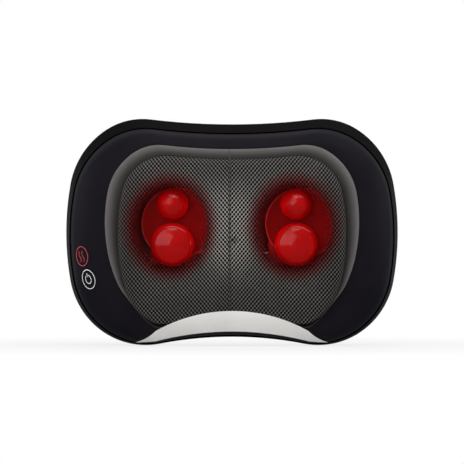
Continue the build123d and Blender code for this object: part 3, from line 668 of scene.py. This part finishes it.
class MASSAGER_OT_gusset(bpy.types.Operator):
    """Make the padded wall between the knit and the ring"""
    bl_idname = "massager.gusset"
    bl_label = "Padded Gusset"

    def execute(self, context):
        gusset = settings().gusset
        wall = tree_of("side_gusset")
        cover = tree_of("mesh_cover")
        ledge = corners("side_gusset")[1].y
        steps = GUSSET_RINGS
        rings = [[] for _ in range(steps + 4)]
        for way in ways_round():
            foot_reach = reach_of(wall, ledge - 0.25 * MM, way)
            seam_reach = reach_of(cover, ledge - 0.4 * MM, way) - 0.35 * MM
            foot = CUSHION_MIDDLE + way * foot_reach
            foot.y = ledge - gusset.foot_lift
            seam = CUSHION_MIDDLE + way * seam_reach
            seam.y = seam_depth(seam.z)
            full = min(1.0, max(0.0, (seam.z - gusset.narrow_low) / gusset.narrow_rise))
            full = gusset.narrow_share + (1 - gusset.narrow_share) * full * full * (3 - 2 * full)
            foot = seam.lerp(foot, full) if full < 1 else foot
            foot.y = ledge - gusset.foot_lift
            run = seam - foot
            out = (way * -run.y + Vector((0, run.dot(way), 0))).normalized()
            if out.y > 0:
                out = -out
            puff = gusset.puff * run.length
            for i in range(steps + 1):
                along = i / steps
                swell = sin(pi * along ** 0.62) ** 0.8
                rings[i].append(foot + run * along + out * puff * swell)
            inside = seam - way * 0.8 * MM
            rings[steps + 1].append(inside + Vector((0, gusset.tuck, 0)))
            rings[steps + 2].append(Vector((inside.x, ledge - gusset.foot_lift, inside.z)) - way * 0.6 * MM)
            rings[steps + 3].append(foot - way * 1.2 * MM + Vector((0, 0.02 * MM, 0)))
        bm = ringed_surface(rings, close=True)[0]
        bmesh.ops.recalc_face_normals(bm, faces=bm.faces)
        place = bm.verts.layers.int["place"]
        # share of the way from the foot to the seam, by which the finish paints shade
        turn_in = bm.verts.layers.float.new("turn_in")
        for vert in bm.verts:
            i = vert[place]
            whole = (rings[steps][i] - rings[0][i]).length
            vert[turn_in] = min(1.0, (vert.co - rings[0][i]).length / whole) if whole else 1.0
        made = finished("gusset_pad", bm, "casing", gusset_finish())
        subdivided(made)
        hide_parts("side_gusset", "cushion_foam")
        return {"FINISHED"}


class MASSAGER_OT_centre_seam(bpy.types.Operator):
    """Lay the sewn seam down the middle of the cushion"""
    bl_idname = "massager.centre_seam"
    bl_label = "Middle Seam"

    def execute(self, context):
        knit = settings().knit
        front = [bpy.data.objects[name] for name in ("knit_front", "gusset_pad")]
        graph = context.evaluated_depsgraph_get()
        shapes = []
        for piece in front:
            bm = bmesh.new()
            bm.from_object(piece, graph)
            shapes.append(BVHTree.FromBMesh(bm))
            bm.free()
        top = corners("side_gusset")[1].z - 1.0 * MM
        bottom = corners("trim_crescent")[0].z + 32 * MM
        points = []
        count = 110
        for i in range(count + 1):
            z = top + (bottom - top) * i / count
            start = Vector((knit.seam_offset, -0.2, z))
            hits = [shape.ray_cast(start, Vector((0, 1, 0)))[0] for shape in shapes]
            hits = [hit for hit in hits if hit is not None]
            if hits:
                points.append(min(hits, key=lambda hit: hit.y) + Vector((0, -0.05 * MM, 0)))
        bm = bmesh.new()
        half = 0.45 * MM
        ends = [bm.verts.new(points[0] + Vector((side * half, 0, 0))) for side in (-1, 1)]
        edge = bm.edges.new(ends)
        for a, b in zip(points, points[1:]):
            made = bmesh.ops.extrude_edge_only(bm, edges=[edge])["geom"]
            verts = [g for g in made if isinstance(g, bmesh.types.BMVert)]
            bmesh.ops.translate(bm, verts=verts, vec=b - a)
            edge = [e for e in bm.edges if set(e.verts) == set(verts)][0]
        finish = Finish("seam_thread", Roughness=0.85)
        x, _, z = finish.axes(finish.place())
        twist = ((z + x * 0.6) * 2600.0).cosine() * 0.5 + 0.5
        finish.set(Base_Color=finish.mix(twist, (0.035, 0.034, 0.033), (0.085, 0.083, 0.080)))
        finish.bump(twist, 0.0003)
        bmesh.ops.recalc_face_normals(bm, faces=bm.faces)
        made = finished("centre_seam", bm, "casing", finish)
        thick = made.modifiers.new("Thickness", "SOLIDIFY")
        thick.thickness = 0.5 * MM
        thick.offset = 0.0
        return {"FINISHED"}


# ---- printed symbols -----------------------------------------------------------------
def stroke(bm, edge, centre, turn, steps):
    """Sweeps an edge round a centre, as a pen would, and returns the edge it ends on."""
    made = bmesh.ops.spin(bm, geom=[edge, *edge.verts], cent=centre, axis=(0, 0, 1), angle=turn,
                          steps=steps, use_duplicate=False)
    return [g for g in made["geom_last"] if isinstance(g, bmesh.types.BMEdge)][0]


def pen(bm, place, direction, line):
    """An edge across the pen's direction."""
    side = Vector((-direction.y, direction.x, 0)) * line / 2
    return bm.edges.new([bm.verts.new(Vector(place) + side), bm.verts.new(Vector(place) - side)])


def ring_outline(bm, radius, line, turn=tau, start=pi / 2, steps=64):
    """A ring, or part of one, drawn from a starting angle."""
    place = Vector((cos(start), sin(start), 0)) * radius
    way = Vector((-sin(start), cos(start), 0))
    stroke(bm, pen(bm, place, way, line), (0, 0, 0), turn, steps)


def heat_symbol(bm, radius, line):
    """A ring with two rising waves."""
    ring_outline(bm, radius, line)
    bend = radius * 0.27
    for x in (-radius * 0.30, radius * 0.24):
        edge = pen(bm, (x, -bend * 2.1, 0), Vector((0.55, 1, 0)).normalized(), line)
        for side in (-1, 1):
            mid = (edge.verts[0].co + edge.verts[1].co) / 2
            centre = mid + Vector((side * bend * 0.95, bend * 0.95, 0))
            edge = stroke(bm, edge, centre, -side * radians(100), 14)


def power_symbol(bm, radius, line):
    """A ring with a broken ring and an upright stroke in it."""
    ring_outline(bm, radius, line)
    small = radius * 0.44
    gap = radians(20)
    ring_outline(bm, small, line, tau - 2 * gap, pi / 2 + gap, 40)
    edge = pen(bm, (0, small * 0.55, 0), Vector((0, 1, 0)), line)
    made = bmesh.ops.extrude_edge_only(bm, edges=[edge])["geom"]
    verts = [g for g in made if isinstance(g, bmesh.types.BMVert)]
    bmesh.ops.translate(bm, verts=verts, vec=(0, small * 0.95, 0))


class MASSAGER_OT_symbols(bpy.types.Operator):
    """Print the heat and power symbols on the buttons"""
    bl_idname = "massager.symbols"
    bl_label = "Printed Symbols"

    def execute(self, context):
        ink = settings().symbols
        prints = (("heat", heat_symbol, ink.heat, 8.0), ("power", power_symbol, ink.power, 14.0))
        for use, draw, tone, lean in prints:
            press = [j for j in frame["joints"] if j["name"] == use + "_press"][0]
            outward = -Vector(press["axis"]).normalized()
            middle = Vector(press["pos_m"])
            up = (Vector((0, 0, 1)) - outward * outward.z).normalized()
            right = up.cross(outward)
            lay = Matrix((right, up, outward)).transposed().to_4x4()
            cap = tree_of(use + "_button")
            bm = bmesh.new()
            draw(bm, ink.ring_radius, ink.line)
            bmesh.ops.remove_doubles(bm, verts=bm.verts, dist=0.02 * MM)
            bmesh.ops.scale(bm, verts=bm.verts, vec=(ink.narrow, 1, 1))
            turn = Matrix.Rotation(radians(lean), 4, "Z")
            bmesh.ops.transform(bm, matrix=Matrix.Translation(middle) @ lay @ turn, verts=bm.verts)
            for vert in bm.verts:
                hit = cap.ray_cast(vert.co + outward * 0.01, -outward)[0]
                if hit is None:
                    raise RuntimeError("the print for %s runs off its button" % use)
                vert.co = hit + outward * 0.01 * MM
            bmesh.ops.recalc_face_normals(bm, faces=bm.faces)
            for face in bm.faces:
                if face.normal.dot(outward) < 0:
                    face.normal_flip()
            bmesh.ops.solidify(bm, geom=bm.faces, thickness=-ink.ink)
            finish = moulded(use + "_ink", tone, 0.42, 0.00001, 4200.0, 0.08)
            finished(use + "_symbol", bm, use + "_key", finish)
        return {"FINISHED"}


# ---- finishes ------------------------------------------------------------------------
def head_finish():
    """Red see-through plastic, with a painted glow standing for the light from inside."""
    finish = Finish("node_red_glossy", Roughness=0.3, Specular_IOR_Level=0.05,
                    Coat_Weight=0.5, Coat_Roughness=0.03)
    cloud = finish.grain(42.0, 3.0)
    tone = settings().finish.head
    finish.set(Base_Color=finish.mix(cloud.rise(0.3, 0.7), tuple(c * 0.82 for c in tone), tone))
    # painted glow: the head gives off red light, standing for the lamps shining through it
    finish.set(Emission_Color=finish.mix(cloud.rise(0.2, 0.8), (0.10, 0.0, 0.0), (0.14, 0.0, 0.0)))
    finish.set(Emission_Strength=0.5)
    return finish


def disc_finish():
    """Dark red plastic with a painted glow, and a painted highlight where light catches its rim."""
    finish = Finish("disc_red_satin", Roughness=0.4, Specular_IOR_Level=0.06)
    cloud = finish.grain(30.0, 2.0)
    colours = settings().finish
    tone = finish.mix(cloud.rise(0.3, 0.7), tuple(c * 0.8 for c in colours.disc), colours.disc)
    low, high = corners("rotor_disc_right")
    radius = (high.x - low.x) / 2
    # painted highlight along the rim, where light catches the disc's edge
    rim = nearest_of(finish, middles("rotor_disc")).rise(radius - 1.5 * MM, radius - 0.7 * MM)
    finish.set(Base_Color=finish.mix(rim, tone, colours.disc_rim_highlight))
    # painted glow: the disc gives off red light though it is no lamp
    finish.set(Emission_Color=finish.mix(cloud, (0.10, 0.0, 0.0), (0.14, 0.0005, 0.0005)),
               Emission_Strength=0.35)
    return finish.bump(finish.grain(1800.0), 0.00002)


def lamp_finish():
    """Clear red lamps that glow."""
    finish = Finish("lamp_red_clear", Roughness=0.1, Coat_Weight=0.5)
    glow = finish.grain(300.0)
    finish.set(Base_Color=finish.mix(glow, (0.7, 0.03, 0.02), (0.9, 0.06, 0.04)))
    finish.set(Emission_Color=finish.mix(glow, (1.0, 0.02, 0.01), (1.0, 0.05, 0.03)), Emission_Strength=2.5)
    return finish


def board_finish():
    """Circuit board with copper tracks under green lacquer."""
    finish = Finish("board_green_lacquer", Roughness=0.35, Coat_Weight=0.3)
    x, _, z = finish.axes(finish.place())
    upright = x.from_nearest(2.4 * MM).size().rise(0.5 * MM, 0.3 * MM)
    level = z.from_nearest(3.1 * MM).size().rise(0.45 * MM, 0.25 * MM)
    tracks = upright.largest(level) * finish.grain(260.0).rise(0.45, 0.5)
    finish.set(Base_Color=finish.mix(tracks, (0.012, 0.085, 0.030), (0.035, 0.17, 0.055)))
    return finish.bump(tracks, 0.00004)


class MASSAGER_OT_finishes(bpy.types.Operator):
    """Give every moulded and metal piece its finish"""
    bl_idname = "massager.finishes"
    bl_label = "Finishes"

    def execute(self, context):
        tones = settings().finish
        soft = {"Specular_IOR_Level": 0.04}
        by_slot = {
            "shell_black": moulded("shell_black_satin", tones.shell, 0.52, 0.00003, 1900.0, 0.10, **soft),
            "bezel_black": moulded("bezel_black_soft", tones.bezel, 0.50, 0.00003, 1900.0, 0.10, **soft),
            "button_black": moulded("button_black_soft", tones.bezel, 0.46, 0.00003, 2100.0, 0.08, **soft),
            "trim_pearl": moulded("trim_pearl_gloss", tones.pearl, 0.24, 0.000008, 2600.0, 0.04,
                                  Coat_Weight=0.5, Coat_Roughness=0.08),
            "node_red": head_finish(),
            "disc_red": disc_finish(),
            "lamp_red": lamp_finish(),
            "board_green": board_finish(),
            "inner_plastic": moulded("inner_plastic_dark", (0.030, 0.020, 0.021), 0.5, 0.00004, 1500.0),
            "nylon_white": moulded("nylon_natural", (0.68, 0.66, 0.60), 0.42, 0.00002, 1800.0, 0.06),
            "foam_grey": moulded("foam_grey_cells", (0.06, 0.06, 0.06), 0.95, 0.0004, 700.0, 0.3),
            "chassis_steel": machined("chassis_dark_zinc", (0.10, 0.10, 0.105), 0.45, "x"),
            "motor_steel": machined("motor_drawn_steel", (0.46, 0.45, 0.44), 0.30, "x"),
            "shaft_steel": machined("shaft_ground_steel", (0.56, 0.55, 0.54), 0.22, "y"),
            "screw_zinc": machined("screw_bright_zinc", (0.52, 0.51, 0.50), 0.30, "z"),
            "bronze": machined("bush_bronze", (0.48, 0.29, 0.11), 0.34, "y"),
            "mesh_grey": knit_finish(),
            "gusset_grey": gusset_finish(),
        }
        slots = {row["node"]: row["material_slot"] for row in frame["record"]["subparts"]}
        for name, node in frame["nodes"].items():
            finish = by_slot[slots[name]]
            for held in node.material_slots:
                held.material = finish.material
        return {"FINISHED"}


# ---- studio --------------------------------------------------------------------------
def rays(finish):
    """Two sums that are 1 for the rays that the camera sends, and for those seen in glass and gloss."""
    path = finish.node("ShaderNodeLightPath")
    glossy, through = (Sum(finish, path.outputs["Is %s Ray" % kind]) for kind in ("Glossy", "Transmission"))
    return Sum(finish, path.outputs["Is Camera Ray"]), glossy.largest(through)


def area_lamp(name, place, aim, width, height, watts, roll=0.0):
    """A flat lamp that faces a point, turned about that line by the roll in degrees."""
    data = bpy.data.lights.new(name, "AREA")
    data.shape = "RECTANGLE"
    data.size, data.size_y = width, height
    data.energy = watts
    facing = (Vector(aim) - Vector(place)).to_track_quat("-Z", "Y").to_matrix().to_4x4()
    linked(name, data).matrix_world = (Matrix.Translation(place) @ facing
                                       @ Matrix.Rotation(radians(roll), 4, "Z"))


def point_lamp(name, place, watts, tone):
    """A small round lamp that isn't seen in glossy pieces."""
    data = bpy.data.lights.new(name, "POINT")
    data.energy, data.color, data.shadow_soft_size = watts, tone, 4 * MM
    lamp = linked(name, data)
    lamp.visible_glossy = False
    lamp.location = place


def pale_floor():
    """A floor that looks white and keeps the shadow. Behind the massager it also mirrors white."""
    bm = bmesh.new()
    bmesh.ops.create_grid(bm, x_segments=2, y_segments=2, size=6.0)
    bmesh.ops.translate(bm, verts=bm.verts, vec=(0, 0, -0.4 * MM))
    mesh = bpy.data.meshes.new("floor")
    bm.to_mesh(mesh)
    bm.free()
    finish = Finish("floor_white", Base_Color=(0.6, 0.6, 0.6))
    finish.set(Roughness=0.6 + (finish.grain(3.0) - 0.5) * 0.1)
    x, y, _ = finish.axes(finish.place())
    away = (x * x + y * y).root()
    camera, mirrored = rays(finish)
    seen = camera * (0.80 + away.rise(0.12, 0.6) * 0.20)
    tone = finish.mix(camera.largest(y.rise(-0.1, 0.3)), (0.12, 0.12, 0.12), (1, 1, 1))
    glow = finish.node("ShaderNodeEmission", None, {"Color": tone, "Strength": 1.0})
    mixed = finish.node("ShaderNodeMixShader", None, {"Fac": seen.largest(mirrored)})
    finish.feed(mixed.inputs[1], finish.shader.outputs[0])
    finish.feed(mixed.inputs[2], glow.outputs[0])
    output = [node for node in finish.tree.nodes if node.type == "OUTPUT_MATERIAL"][0]
    finish.feed(output.inputs["Surface"], mixed.outputs[0])
    mesh.materials.append(finish.material)
    linked("floor", mesh)


def pale_sky(fill):
    """A world that looks white, lights evenly, and mirrors white only from behind the massager."""
    sky = Sky("studio")
    _, y, _ = sky.axes(sky.node("ShaderNodeTexCoord").outputs["Generated"])
    camera, mirrored = rays(sky)
    shown = camera.largest(mirrored * y.rise(0.0, 0.4))
    sky.set(Color=(1, 1, 1), Strength=(fill * (1 - mirrored * 0.6)).largest(shown))
    return sky.world


class MASSAGER_OT_studio(bpy.types.Operator):
    """Set the floor, lamps and camera"""
    bl_idname = "massager.studio"
    bl_label = "Studio"

    def execute(self, context):
        scene = context.scene
        studio = settings().studio
        low, high = (Vector(corner) for corner in cad_box)
        middle = (low + high) / 2
        pale_floor()
        scene.world = pale_sky(studio.fill)
        area_lamp("lamp_above", (0.5, -0.95, 2.35), middle, 3.0, 1.8, studio.key)
        area_lamp("lamp_window", (-1.36, -2.62, 0.78), middle, 2.3, 3.0, studio.window, -24.0)
        for number, (head_x, head_z) in enumerate(head_places()):
            for side in (-1, 1):
                lamp_x = head_x + studio.inside_offset + side * studio.inside_reach
                place = (lamp_x, studio.inside_depth, head_z)
                point_lamp("lamp_inside_%d_%d" % (number, side + 1), place, studio.inside, (1.0, 0.015, 0.01))
        for side, x in (("left", -1.5), ("right", 1.5)):
            area_lamp("lamp_side_" + side, (x, -0.25, 0.35), middle, 0.5, 1.0, studio.side)

        data = bpy.data.cameras.new("camera")
        data.sensor_width = 36.0
        data.lens = 36.0 * studio.distance / studio.frame_width
        data.clip_end = 50.0
        camera = linked("camera", data)
        camera.location = (middle.x, middle.y - studio.distance, middle.z)
        camera.rotation_euler = (radians(90), 0, 0)
        scene.camera = camera
        scene.view_settings.view_transform = "Standard"
        return {"FINISHED"}


class MASSAGER_PT_panel(bpy.types.Panel):
    """Buttons that build the massager, and its sizes and colours"""
    bl_label = "Massager"
    bl_idname = "MASSAGER_PT_panel"
    bl_space_type = "VIEW_3D"
    bl_region_type = "UI"
    bl_category = "Massager"

    def draw(self, context):
        layout = self.layout
        for operator in OPERATORS:
            layout.operator(operator.bl_idname)
        for group in ("knit", "gusset", "symbols", "finish", "studio"):
            box = layout.box()
            box.label(text=group.title())
            held = getattr(context.scene.massager, group)
            for name in held.__annotations__:
                box.prop(held, name)


OPERATORS = (
    MASSAGER_OT_finishes,
    MASSAGER_OT_knit_front,
    MASSAGER_OT_gusset,
    MASSAGER_OT_centre_seam,
    MASSAGER_OT_symbols,
    MASSAGER_OT_studio,
)
CLASSES = (
    KnitSettings,
    GussetSettings,
    PrintSettings,
    FinishSettings,
    StudioSettings,
    MassagerSettings,
    *OPERATORS,
    MASSAGER_PT_panel,
)


def register():
    for held in CLASSES:
        bpy.utils.register_class(held)
    bpy.types.Scene.massager = PointerProperty(type=MassagerSettings)


def unregister():
    del bpy.types.Scene.massager
    for held in reversed(CLASSES):
        bpy.utils.unregister_class(held)


def main():
    register()
    for operator in OPERATORS:
        category, name = operator.bl_idname.split(".")
        getattr(getattr(bpy.ops, category), name)()


if __name__ == "__main__":
    main()
